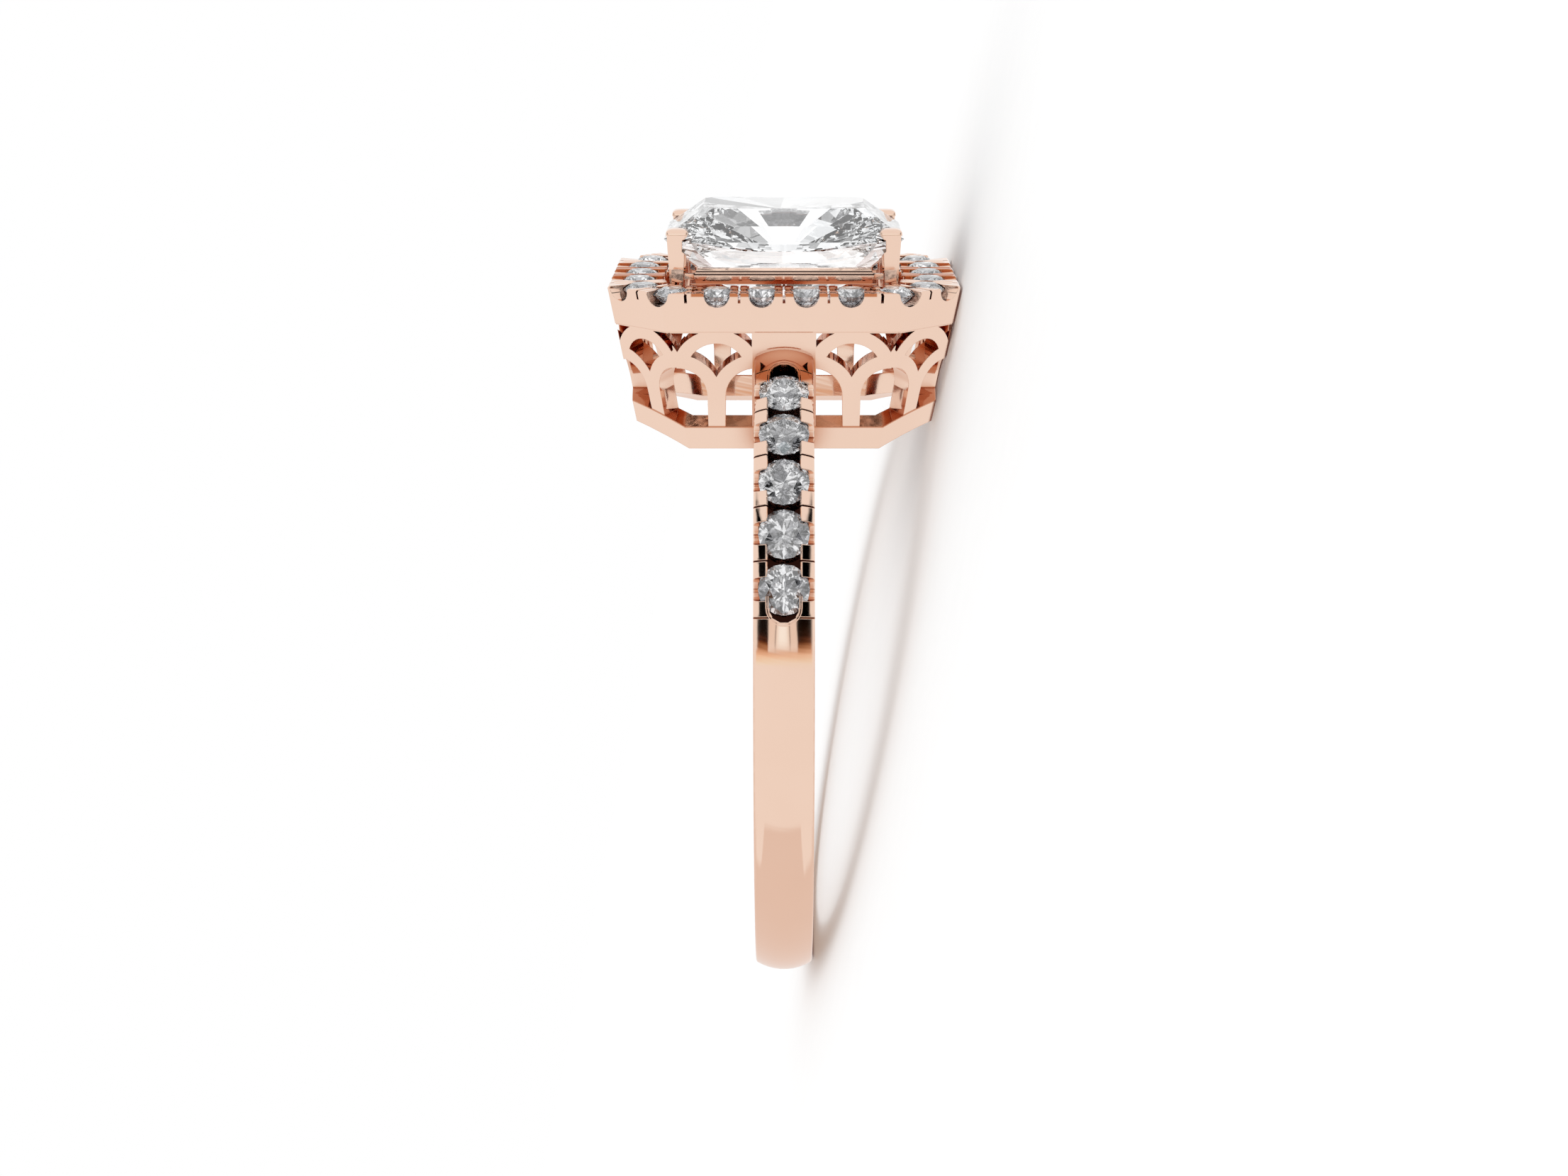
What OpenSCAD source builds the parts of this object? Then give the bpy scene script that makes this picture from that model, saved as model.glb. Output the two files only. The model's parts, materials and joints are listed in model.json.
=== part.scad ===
// Halo engagement ring: a cut-cornered rectangular stone in a stone-set tray on a pierced basket,
// carried by a domed shank with a row of small stones on each shoulder.
// It is drawn upright, with the finger along X, the head up and the origin on the finger's axis.
// The last step lays it on its side, as it rests on a table.

/* [Shank] */
// Diameter of the finger hole
finger_d = 17.3; // [17:0.1:17.6]
// Radius of the shank's outer circle
shank_r = 11.03; // [10.9:0.01:11.15]
// Height of the outer circle's centre above the finger's axis
shank_rise = 0.86; // [0.7:0.01:1]
// Width of the shank along the finger
shank_w = 1.78; // [1.7:0.01:1.9]
// Radius of the shank's softly domed face
dome_r = 1.71; // [1.5:0.01:2.5]
// Radius of the round edge between the dome and the side
shank_edge_r = 0.12; // [0.08:0.01:0.16]

/* [Shank stones] */
// Number of stones on each shoulder
shoulder_stones = 5; // [3:1:5]
// Diameter of a shank stone
shank_stone_d = 1.5; // [1.45:0.01:1.54]
// Angle of the lowest stone above the finger's level, about the outer circle's centre
first_stone_angle = 22.6; // [21:0.1:24]
// Angle from one stone to the next
stone_step_angle = 8.69; // [8.6:0.01:8.8]
// Width of the channel between the two rails
channel_w = 0.94; // [0.8:0.01:1]
// Depth of the channel
channel_depth = 0.55; // [0.45:0.01:0.65]
// How far the channel runs on below the lowest stone's middle, as an angle
channel_low_reach = 2.9; // [2.7:0.1:3.1]
// How far the channel runs on above the highest stone's middle, as an angle
channel_high_reach = 3.2; // [3:0.1:3.4]
// Radius of the scallop that opens the rails beside each stone
scallop_r = 0.35; // [0.3:0.01:0.38]

/* [Head] */
// Half of the halo's length along the finger, at its top
halo_half_x = 5.40; // [5.3:0.01:5.5]
// Half of the halo's width, at its top
halo_half_y = 4.70; // [4.6:0.01:4.8]
// Height of the halo's top above the finger's axis
halo_top = 12.71; // [12.6:0.01:12.8]
// Height of the seam between the halo's skirt and the pierced basket
skirt_bottom = 11.53; // [11.45:0.01:11.6]
// Height of the halo floor's underside
tray_bottom = 11.83; // [11.7:0.01:11.9]
// Leg of the cut corner, at the halo's top
corner_top = 1.67; // [1.6:0.01:1.75]
// Leg of the cut corner, one unit_drop below the top
corner_low = 1.59; // [1.5:0.01:1.67]
// How far the sides lean in for each millimetre of height
side_lean = 0.18; // [0.16:0.01:0.2]
// Thickness of the basket's wall
wall = 0.65; // [0.55:0.01:0.7]
// Width of the halo's floor, from its outer to its inner edge
tray_w = 1.62; // [1.55:0.01:1.7]

/* [Halo stones] */
// Diameter of a halo stone
halo_stone_d = 1.2; // [1.15:0.01:1.22]
// Distance of the stones' centre line from the halo's outer edge
halo_inset = 0.89; // [0.85:0.01:0.95]
// Stones along the front, with those at its two corners
halo_front_count = 6; // [5:1:6]
// Stones along the side, with those at its two corners
halo_side_count = 5; // [4:1:5]
// Way that a corner's stones face, away from the middle of the cut corner
corner_fan = 11; // [0:1:22]
// Radius of the round scallop at each stone
halo_scallop_r = 0.39; // [0.35:0.01:0.42]

/* [Basket pattern] */
// Distance between the arches of one row
arch_pitch = 2.36; // [2.3:0.01:2.4]
// Outer radius of an arch
arch_ro = 1.335; // [1.25:0.005:1.36]
// Inner radius of an arch
arch_ri = 0.90; // [0.8:0.01:0.95]
// Depth of the upper arches' centres below the seam, along the wall
arch_drop_upper = 1.27; // [1.2:0.01:1.3]
// Depth of the lower arches' centres below the seam, along the wall
arch_drop_lower = 2.07; // [2:0.01:2.15]
// Width of a stem at its foot
stem_w = 0.48; // [0.4:0.01:0.6]
// Radius of the bottom rail's upper face about the finger's axis
rail_r = 9.37; // [9.25:0.01:9.5]
// Half width of the plain panel behind each end of the shank
panel_half = 0.97; // [0.95:0.01:1.1]
// Place of the front's upper arches, between the panel and the cut corners
front_upper = 2.05; // [2:0.01:2.1]

/* [Centre stone] */
// Length of the centre stone along the finger
gem_x = 7.38; // [7.3:0.02:7.44]
// Width of the centre stone
gem_y = 5.8; // [5.7:0.05:5.9]
// Leg of its cut corner
gem_corner = 0.85; // [0.8:0.05:0.95]
// Height of the girdle's upper edge above the finger's axis
girdle_top = 14.01; // [13.95:0.01:14.05]
// Height of the girdle band
girdle_h = 0.27; // [0.2:0.01:0.3]
// Height of the crown above the girdle
crown_h = 0.87; // [0.8:0.01:0.95]
// Height of the break between the crown's two steps above the girdle
break_h = 0.42; // [0.38:0.01:0.46]
// Distance of that break in from the girdle
break_in = 0.576; // [0.54:0.002:0.6]
// Half of the table's length
table_half_x = 2.5; // [2.4:0.01:2.55]
// Half of the table's width
table_half_y = 1.525; // [1.45:0.005:1.6]
// Leg of the table's cut corner
table_corner = 0.27; // [0.2:0.01:0.35]
// Depth of the pavilion below the girdle
pavilion_h = 2.46; // [2.3:0.01:2.6]
// Half of the length of the keel at the foot of the pavilion
keel_half = 0.9; // [0.7:0.05:1.1]

/* [Prongs and seat] */
// Place of a prong along the finger
prong_x = 3.27; // [3.2:0.01:3.35]
// Place of a prong across the finger
prong_y = 2.39; // [2.3:0.01:2.45]
// Height of the prong tips above the finger's axis
prong_top = 14.36; // [14.3:0.01:14.5]
// Width of a prong at its tip
prong_w_top = 0.65; // [0.6:0.01:0.7]
// Width of a prong at its foot
prong_w_low = 0.38; // [0.34:0.01:0.42]
// Outer face of the seat rail under the front of the centre stone
seat_half_y = 2.72; // [2.65:0.01:2.75]
// Outer face of the seat rail under the side of the centre stone
seat_half_x = 3.62; // [3.55:0.01:3.65]
// Height of the seat rail's underside above the finger's axis
seat_bottom = 12.68; // [12.66:0.01:12.75]
// Height of the seat rail
seat_h = 0.5; // [0.4:0.01:0.55]

/* [Hidden] */
$fn = 64;
// Clearance all round a small set stone, and round the centre stone
stone_gap = 0.02;
centre_gap = 0.03;
// Extra length of a cutter past the face that it opens
past = 0.3;
// A hair's overlap, so that pieces of one casting share volume and not just a face
merge = 0.05;
gold = [0.93, 0.80, 0.71];
diamond = [0.90, 0.94, 0.97];

finger_r = finger_d / 2;
// The basket's underside stands a little clear of the finger hole's own wall
basket_clear_r = finger_r + 0.03;
// Height over which the cut corner goes from corner_top to corner_low
unit_drop = 4.95;
// How far the basket is set back from the skirt, which draws the seam
seam_step = 0.02;
half_w = shank_w / 2;
// Where the round edge's circle sits in the shank's section
edge_x = half_w - shank_edge_r;
edge_z = shank_r - dome_r + sqrt(pow(dome_r - shank_edge_r, 2) - edge_x * edge_x);
// Proportions of a round brilliant, as parts of its diameter
table_part = 0.275;
star_part = 0.395;
lower_part = 0.12;
crown_part = 0.15;
band_part = 0.02;
pavilion_part = 0.43;
drill_part = 0.13;
// Height of the prongs' feet, a hair above the tray's underside
prong_foot = tray_bottom + merge;
// Height of a set stone's table above the metal beside it
halo_table_proud = 0.06;
shank_table_proud = -0.02;
halo_girdle = halo_top + halo_table_proud - crown_part * halo_stone_d;
// Depth of the openings' pattern along the wall, to well below the rail
pattern_depth = 4.4;
// Height from which the basket's walls are drawn, below the foot of its lowest corner
basket_foot = 7.2;

function two_digits(n) = n < 10 ? str("0", n) : str(n);
function halo_name(i) = str("halo_stone_", two_digits(i + 1));
function shank_name(i) = str("shank_stone_", two_digits(i + 1));

// Sizes of the head's outline at a height: half length, half width and corner leg, taken in by an inset
function half_x_at(z, inset = 0) = halo_half_x - side_lean * (halo_top - z) - inset;
function half_y_at(z, inset = 0) = halo_half_y - side_lean * (halo_top - z) - inset;
function corner_at(z, inset = 0) =
    corner_top - (corner_top - corner_low) * (halo_top - z) / unit_drop - (2 - sqrt(2)) * inset;

// The eight points of a rectangle with cut corners
function octagon(hx, hy, c) = [
    [-hx + c, -hy], [hx - c, -hy], [hx, -hy + c], [hx, hy - c],
    [hx - c, hy], [-hx + c, hy], [-hx, hy - c], [-hx, -hy + c]
];
function octagon_at(z, inset = 0) =
    [for (p = octagon(half_x_at(z, inset), half_y_at(z, inset), corner_at(z, inset))) [p.x, p.y, z]];

// Halo stones: side by side round the tray, each as x, y and the way that it faces from the front.
// The side's outer stones stand on the cut corner, one step along it from the front's outer ones.
halo_len_x = half_x_at(halo_top, halo_inset) - corner_at(halo_top, halo_inset);
halo_row_x = half_x_at(halo_top, halo_inset);
halo_row_y = half_y_at(halo_top, halo_inset);
halo_step = 2 * halo_len_x / (halo_front_count - 1);
halo_len_y = halo_row_y - halo_step / sqrt(2);
function turned(u, v, a) = [u * cos(a) - v * sin(a), u * sin(a) + v * cos(a)];
function halo_run(side) =
    let (
        front = side % 2 == 0,
        count = front ? halo_front_count : halo_side_count,
        len = front ? halo_len_x : halo_len_y
    )
    [for (j = [0 : count - 1])
        let (
            end = j == 0 ? -1 : j == count - 1 ? 1 : 0,
            out = front ? halo_row_y : end == 0 ? halo_row_x : halo_len_x + halo_step / sqrt(2),
            p = turned(-len + 2 * len * j / (count - 1), -out, 90 * side)
        )
        [p.x, p.y, 90 * side + end * (45 - corner_fan)]];
halo_places = [for (side = [0 : 3]) each halo_run(side)];
halo_count = len(halo_places);
// The places half way between neighbours, where the slits between their prongs go
halo_gaps = [for (i = [0 : halo_count - 1])
    let (a = halo_places[i], b = halo_places[(i + 1) % halo_count], wrap = i + 1 == halo_count ? 360 : 0)
    [(a.x + b.x) / 2, (a.y + b.y) / 2, (a.z + b.z + wrap) / 2]];

shank_count = 2 * shoulder_stones;
last_stone_angle = first_stone_angle + (shoulder_stones - 1) * stone_step_angle;
// The channel's round ends, as angles of their centres
channel_low_angle = first_stone_angle - channel_low_reach;
channel_high_angle = last_stone_angle + channel_high_reach;

// The plane on which the ring rests touches the basket's lowest side corners and the shank's far edge
function side_corner_z(z) = sqrt(pow(basket_clear_r, 2) - pow(half_y_at(z, seam_step) - corner_at(z), 2));
rest_z = side_corner_z(side_corner_z(side_corner_z(finger_r)));
rest_x = half_x_at(rest_z, seam_step);
rest_dx = rest_x - edge_x;
rest_dz = rest_z + edge_z - shank_rise;
rest_tilt = atan(rest_dx / rest_dz) - asin(shank_edge_r / norm([rest_dx, rest_dz]));
rest_lift = rest_x * cos(rest_tilt) - rest_z * sin(rest_tilt);
// Ends of the lying ring along X: the dome at the foot of the shank, and the edge of the table
lying_low = -(shank_r - dome_r - shank_rise) * cos(rest_tilt) - dome_r;
lying_high = table_half_x * sin(rest_tilt) + (girdle_top + crown_h) * cos(rest_tilt);

// Lays the upright ring on its side, with its lowest points on the floor
module laid_down() {
    translate([-(lying_low + lying_high) / 2, 0, rest_lift])
        rotate([0, 90 - rest_tilt, 0])
            children();
}

// Carries children to the shank's outer face at an angle above the finger's level, their Z outwards
module on_shank(angle, back = false) {
    mirror([0, back ? 1 : 0, 0])
        translate([0, 0, shank_rise])
            rotate([90 - angle, 0, 0])
                translate([0, 0, shank_r])
                    children();
}

// Turns a flat section (radius, place along the finger) about the outer circle's centre
module spun(from = 0, to = 360) {
    translate([0, 0, shank_rise])
        rotate([0, 90, 0])
            rotate([0, 0, 270 - to])
                rotate_extrude(angle = to - from, $fn = 128)
                    children();
}

// Solid between two outlines of eight points
module octagon_block(low, high) {
    polyhedron(
        points = concat(low, high),
        faces = concat(
            [[for (i = [0 : 7]) i], [for (i = [0 : 7]) 15 - i]],
            [for (i = [0 : 7]) [i, i + 8, (i + 1) % 8 + 8, (i + 1) % 8]]
        )
    );
}

// Round brilliant with its girdle's upper edge at Z 0 and its table up
module brilliant(d) {
    r = d / 2;
    crown = crown_part * d;
    band = band_part * d;
    deep = pavilion_part * d;
    r_table = table_part * d;
    r_star = star_part * d;
    r_low = lower_part * d;
    z_star = crown * (r - r_star * cos(22.5)) / (r - r_table);
    z_low = -band - deep * (1 - r_low * cos(22.5) / r);
    table = [for (i = [0 : 7]) [r_table * cos(45 * i), r_table * sin(45 * i), crown]];
    star = [for (i = [0 : 7]) [r_star * cos(45 * i + 22.5), r_star * sin(45 * i + 22.5), z_star]];
    upper = [for (i = [0 : 15]) [r * cos(22.5 * i), r * sin(22.5 * i), 0]];
    lower = [for (i = [0 : 15]) [r * cos(22.5 * i), r * sin(22.5 * i), -band]];
    main = [for (i = [0 : 7]) [r_low * cos(45 * i + 22.5), r_low * sin(45 * i + 22.5), z_low]];
    culet = [[0, 0, -band - deep]];
    // First index of each ring of points
    s = 8;
    u = 16;
    l = 32;
    p = 48;
    c = 56;
    polyhedron(
        points = concat(table, star, upper, lower, main, culet),
        faces = concat(
            [[for (i = [0 : 7]) 7 - i]],
            [for (i = [0 : 7]) [i, (i + 1) % 8, s + i]],
            [for (i = [0 : 7]) [i, s + i, u + 2 * i, s + (i + 7) % 8]],
            [for (i = [0 : 7]) [s + i, u + 2 * i + 1, u + 2 * i]],
            [for (i = [0 : 7]) [s + i, u + (2 * i + 2) % 16, u + 2 * i + 1]],
            [for (i = [0 : 15]) [u + i, u + (i + 1) % 16, l + (i + 1) % 16, l + i]],
            [for (i = [0 : 7]) [p + i, l + 2 * i, l + 2 * i + 1]],
            [for (i = [0 : 7]) [p + i, l + 2 * i + 1, l + (2 * i + 2) % 16]],
            [for (i = [0 : 7]) [c, p + (i + 7) % 8, l + 2 * i, p + i]]
        )
    );
}

// Seat for a round brilliant: the stone's own outline with a gap, open above and drilled below
module round_seat(d, drill_r, drill_depth) {
    r = d / 2 + stone_gap;
    crown = crown_part * d;
    low = -band_part * d - stone_gap;
    tip = low - pavilion_part * d * (1 - drill_r / r);
    mouth = table_part * d + 3 * stone_gap;
    rotate_extrude()
        polygon([
            [0, -drill_depth], [drill_r, -drill_depth], [drill_r, tip], [r, low], [r, stone_gap],
            [mouth, crown + stone_gap], [mouth, crown + past], [0, crown + past]
        ]);
}

// Section of the shank, softly domed, with round edges
module shank_section() {
    tangent_x = edge_x * dome_r / (dome_r - shank_edge_r);
    inner = finger_r - shank_rise - 1;
    intersection() {
        translate([shank_r - dome_r, 0])
            circle(dome_r);
        translate([inner, -tangent_x])
            square([shank_r - inner + past, 2 * tangent_x]);
    }
    translate([inner, -half_w])
        square([edge_z - inner, shank_w]);
    for (side = [-1, 1])
        translate([edge_z, side * edge_x])
            circle(shank_edge_r);
}

// Closed ring blank of the shank
module shank_blank() {
    spun()
        shank_section();
}

// Channel along one shoulder, with a fine bright-cut bevel, and twelve-sided ends a hair smaller and deeper
module shoulder_channel() {
    half = channel_w / 2;
    lip = 0.13;
    flare = 0.23;
    shy = 0.04;
    spun(channel_low_angle, channel_high_angle)
        polygon([
            [shank_r - channel_depth, -half], [shank_r - channel_depth, half],
            [shank_r - lip, half], [shank_r - lip + flare, half + flare],
            [shank_r - lip + flare, -half - flare], [shank_r - lip, -half]
        ]);
    for (angle = [channel_low_angle, channel_high_angle])
        on_shank(angle)
            translate([0, 0, -channel_depth - shy])
                rotate([0, 0, 15])
                    cylinder(r = half - shy, h = channel_depth + flare + past, $fn = 12);
}

// Scallop beside a shank stone, open to both sides, with a fine slot in its floor
module shank_scallop() {
    slot_w = 0.1;
    slot_depth = 0.05;
    sink = 0.1;
    rotate([90, 0, 90])
        linear_extrude(2 * shank_w, center = true) {
            translate([0, -sink])
                circle(scallop_r);
            translate([-scallop_r, -sink])
                square([2 * scallop_r, 1]);
            translate([-slot_w / 2, -sink - scallop_r - slot_depth])
                square([slot_w, 1]);
        }
}

// Fine groove that splits a rail block into two beads
module bead_split() {
    split_w = 0.05;
    split_depth = 0.14;
    translate([-shank_w, -split_w / 2, -half_w * half_w / 2 / dome_r - split_depth])
        cube([2 * shank_w, split_w, 1]);
}

// Seats of one shoulder's stones
module shoulder_seats() {
    for (i = [0 : shoulder_stones - 1])
        on_shank(first_stone_angle + i * stone_step_angle)
            translate([0, 0, shank_table_proud - crown_part * shank_stone_d])
                round_seat(shank_stone_d, drill_part * shank_stone_d, 1.5 * channel_depth);
}

// Scallops and bead grooves of one shoulder
module shoulder_scallops() {
    for (i = [0 : shoulder_stones - 1])
        on_shank(first_stone_angle + i * stone_step_angle)
            shank_scallop();
    for (i = [0 : shoulder_stones])
        on_shank(first_stone_angle + (i - 0.5) * stone_step_angle)
            bead_split();
}

// Both shoulders, one the mirror of the other
module both_shoulders() {
    children();
    mirror([0, 1, 0])
        children();
}

// Finger hole through the shank, with bevelled edges, and the clearance under the basket
module finger_hole() {
    bevel = 0.12;
    fade = bevel - (basket_clear_r - finger_r);
    reach = halo_half_x + past;
    rotate([0, 90, 0])
        rotate_extrude($fn = 128)
            polygon([
                [0, -reach], [basket_clear_r, -reach], [basket_clear_r, -half_w - fade],
                [finger_r + bevel, -half_w], [finger_r, bevel - half_w], [finger_r, half_w - bevel],
                [finger_r + bevel, half_w], [basket_clear_r, half_w + fade],
                [basket_clear_r, reach], [0, reach]
            ]);
}

// Plain skirt and tray of the halo, with its inside and its opening. It overhangs the basket's wall on
// both sides, by the step that draws the seam.
module halo_blank() {
    rim = 0.06;
    inner = wall + seam_step;
    difference() {
        union() {
            octagon_block(octagon_at(skirt_bottom), octagon_at(halo_top - rim));
            octagon_block(octagon_at(halo_top - rim), octagon_at(halo_top, rim));
        }
        octagon_block(octagon_at(skirt_bottom - past, inner), octagon_at(tray_bottom, inner));
        translate([0, 0, tray_bottom - merge])
            linear_extrude(halo_top - tray_bottom + past)
                polygon(octagon(
                    half_x_at(halo_top, tray_w), half_y_at(halo_top, tray_w), corner_at(halo_top, tray_w)
                ));
    }
}

// Places children at each halo stone, or at each gap between two, their Y towards the ring's middle
module at_each(places) {
    for (place = places)
        translate([place.x, place.y, 0])
            rotate([0, 0, place.z])
                children();
}

// The halo: a tray with a seat and a scallop at each stone, and a slit between each pair of prongs
module halo_tray() {
    slit_w = 0.08;
    slit_depth = 0.28;
    relief_r = 0.17;
    halo_drill_r = 0.25;
    scallop_sink = 0.03;
    reach = halo_inset + past;
    inner_reach = 0.85;
    difference() {
        difference() {
            difference() {
                halo_blank();
                at_each(halo_places)
                    translate([0, 0, halo_girdle])
                        round_seat(halo_stone_d, halo_drill_r, halo_top - tray_bottom + past);
            }
            at_each(halo_places)
                translate([0, -reach, halo_top - scallop_sink])
                    rotate([-90, 0, 0])
                        cylinder(r = halo_scallop_r, h = reach + inner_reach);
        }
        at_each(halo_gaps)
            translate([0, 0, halo_top - slit_depth])
                linear_extrude(slit_depth + past) {
                    translate([-slit_w / 2, -reach])
                        square([slit_w, reach + inner_reach]);
                    circle(relief_r);
                }
    }
}

// Flat pattern of one wall's openings: u along the wall, v up along it from the seam.
// uppers and lowers are the arches' centres. A plain panel may cover the middle.
module wall_pattern(half_top, half_low, uppers, lowers, panel) {
    land = 0.045;
    half_pitch = arch_pitch / 2;
    foot_half = (arch_pitch - stem_w) / 2;
    difference() {
        intersection() {
            polygon([
                [-half_top - merge, -land], [half_top + merge, -land],
                [half_low + merge, -pattern_depth], [-half_low - merge, -pattern_depth]
            ]);
            union() {
                for (u = uppers)
                    difference() {
                        translate([u, -arch_drop_upper])
                            circle(arch_ri);
                        for (side = [-1, 1])
                            translate([u + side * half_pitch, -arch_drop_lower])
                                circle(arch_ro);
                    }
                for (u = lowers) {
                    translate([u, -arch_drop_lower])
                        circle(arch_ri);
                    polygon([
                        [u - arch_ri, -arch_drop_lower], [u + arch_ri, -arch_drop_lower],
                        [u + foot_half, -pattern_depth], [u - foot_half, -pattern_depth]
                    ]);
                    // Small curved triangle under the skirt, between two upper arches
                    difference() {
                        translate([u - half_pitch, -arch_drop_upper + arch_ri / 2])
                            square([arch_pitch, arch_drop_upper]);
                        for (side = [-1, 1])
                            translate([u + side * half_pitch, -arch_drop_upper])
                                circle(arch_ro);
                    }
                }
            }
        }
        if (panel)
            translate([-panel_half, -pattern_depth - past])
                square([2 * panel_half, pattern_depth + 2 * past]);
    }
}

// Openings of one wall, square to its leaning face
module wall_openings(azimuth, out, lean, shift, half_top, half_low, uppers, lowers, panel = false) {
    rotate([0, 0, azimuth])
        translate([shift, -out, skirt_bottom])
            rotate([90 + atan(lean), 0, 0])
                translate([0, 0, -2 * wall])
                    linear_extrude(2 * wall + past)
                        wall_pattern(half_top, half_low, uppers, lowers, panel);
}

// Openings of the front, the back and the two sides
module straight_openings() {
    low = skirt_bottom - pattern_depth;
    front_top = half_x_at(skirt_bottom) - corner_at(skirt_bottom);
    front_low = half_x_at(low) - corner_at(low);
    side_top = half_y_at(skirt_bottom) - corner_at(skirt_bottom);
    side_low = half_y_at(low) - corner_at(low);
    for (azimuth = [0, 180])
        wall_openings(
            azimuth, half_y_at(skirt_bottom), side_lean, 0, front_top, front_low,
            [-front_upper, front_upper],
            [for (u = [-1, 1], v = [-0.5, 0.5]) u * front_upper + v * arch_pitch],
            true
        );
    for (azimuth = [90, 270])
        wall_openings(
            azimuth, half_x_at(skirt_bottom), side_lean, 0, side_top, side_low,
            [-arch_pitch / 2, arch_pitch / 2], [-arch_pitch, 0, arch_pitch]
        );
}

// Openings of the four cut corners
module corner_openings() {
    low = skirt_bottom - pattern_depth;
    out = (half_x_at(skirt_bottom) + half_y_at(skirt_bottom) - corner_at(skirt_bottom)) / sqrt(2);
    out_low = (half_x_at(low) + half_y_at(low) - corner_at(low)) / sqrt(2);
    lean = (out - out_low) / pattern_depth;
    shift = (halo_half_x - halo_half_y) / sqrt(2);
    for (azimuth = [45, 135, 225, 315])
        wall_openings(
            azimuth, out, lean, azimuth % 180 == 45 ? shift : -shift,
            corner_at(skirt_bottom) / sqrt(2), corner_at(low) / sqrt(2),
            [0], [-arch_pitch / 2, arch_pitch / 2]
        );
}

// Round bar about the finger's axis, through the whole head
module finger_bar(r) {
    rotate([0, 90, 0])
        cylinder(r = r, h = 4 * halo_half_x, center = true, $fn = 128);
}

// The pierced basket under the halo, hollow, with its bottom rail curved over the finger
module basket() {
    difference() {
        difference() {
            difference() {
                octagon_block(
                    octagon_at(basket_foot, seam_step), octagon_at(skirt_bottom + merge, seam_step)
                );
                octagon_block(
                    octagon_at(basket_foot - past, wall), octagon_at(skirt_bottom + past, wall)
                );
                finger_bar(basket_clear_r);
            }
            difference() {
                straight_openings();
                finger_bar(rail_r);
            }
        }
        difference() {
            corner_openings();
            finger_bar(rail_r);
        }
    }
}

// The shank, open where the head's hollow is, with its channels, seats and scallops
module shank() {
    difference() {
        difference() {
            difference() {
                difference() {
                    shank_blank();
                    finger_hole();
                    octagon_block(
                        octagon_at(basket_foot - past, seam_step + wall / 2),
                        octagon_at(halo_top, seam_step + wall / 2)
                    );
                }
                both_shoulders()
                    shoulder_channel();
            }
            both_shoulders()
                shoulder_seats();
        }
        both_shoulders()
            shoulder_scallops();
    }
}

// Points of one step of the centre stone, in from the girdle at a height: along the front, along the
// side and on the cut corner, in all four quarters
function gem_step(hx, hy, inset, front_half, side_half, z) =
    let (corner = gem_corner / 2 + inset / sqrt(2))
    [for (sx = [-1, 1], sy = [-1, 1]) each [
        [sx * front_half, sy * (hy - inset), z],
        [sx * (hx - inset), sy * side_half, z],
        [sx * (hx - corner), sy * (hy - corner), z]
    ]];

// Points of the centre stone, grown by a gap: table, crown break, girdle, pavilion and keel
function gem_points(gap = 0) =
    let (
        hx = gem_x / 2 + gap,
        hy = gem_y / 2 + gap,
        low = girdle_top - girdle_h - gap,
        table_z = girdle_top + crown_h + gap,
        waist_in = 0.65,
        waist_z = low - 1.02 * waist_in
    )
    concat(
        [for (p = octagon(table_half_x, table_half_y, table_corner)) [p.x, p.y, table_z]],
        gem_step(hx, hy, break_in, 0.54 * table_half_x, 0.62 * table_half_y, girdle_top + break_h + gap),
        [for (z = [girdle_top + gap, low], p = octagon(hx, hy, gem_corner)) [p.x, p.y, z]],
        gem_step(hx, hy, waist_in, 0.44 * table_half_x, 0.49 * table_half_y, waist_z),
        [for (sx = [-1, 1]) [sx * keel_half, 0, girdle_top - girdle_h - pavilion_h - gap]]
    );

// The cut stone is the tightest solid round its points
module gem(gap = 0) {
    points = gem_points(gap);
    hull()
        polyhedron(points, [for (i = [0 : len(points) - 3]) [i, i + 1, i + 2]]);
}

// One prong: a square bar with broken edges that widens upwards to a domed tip
module prong() {
    top = prong_w_top / 2;
    low = prong_w_low / 2;
    cap_r = 1.1;
    shaft_h = prong_top - cap_r - prong_foot + merge;
    intersection() {
        octagon_block(
            [for (p = octagon(low, low, low / 4)) [p.x, p.y, prong_foot]],
            [for (p = octagon(top, top, top / 4)) [p.x, p.y, prong_top]]
        );
        union() {
            translate([0, 0, prong_top - cap_r])
                sphere(cap_r);
            translate([-cap_r, -cap_r, prong_foot - past])
                cube([2 * cap_r, 2 * cap_r, shaft_h + past]);
        }
    }
}

// Seat rail: one straight bar, its outer face at y = 0, with two fine steps and a bevel towards the top,
// a round lower edge, and ends that slope back above and below
module seat_bar(length) {
    step = 0.03;
    riser = 0.06;
    depth = 0.42;
    round_r = 0.2;
    end_mid = 0.28;
    end_top = 0.1;
    end_low = 0.07;
    intersection() {
        rotate([90, 0, 90])
            linear_extrude(length, center = true) {
                polygon([
                    [round_r, 0], [depth, 0], [depth, seat_h], [4 * step, seat_h],
                    [2 * step, seat_h - riser], [2 * step, seat_h - 2 * riser],
                    [step, seat_h - 2 * riser - step / 2], [step, seat_h - 3 * riser - step / 2],
                    [0, seat_h - 3 * riser - step], [0, round_r]
                ]);
                translate([round_r, round_r])
                    circle(round_r);
            }
        rotate([90, 0, 0])
            linear_extrude(4 * depth, center = true)
                polygon([
                    [end_low - length / 2, 0], [length / 2 - end_low, 0], [length / 2, end_mid],
                    [length / 2 - end_top, seat_h], [end_top - length / 2, seat_h], [-length / 2, end_mid]
                ]);
    }
}

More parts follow.
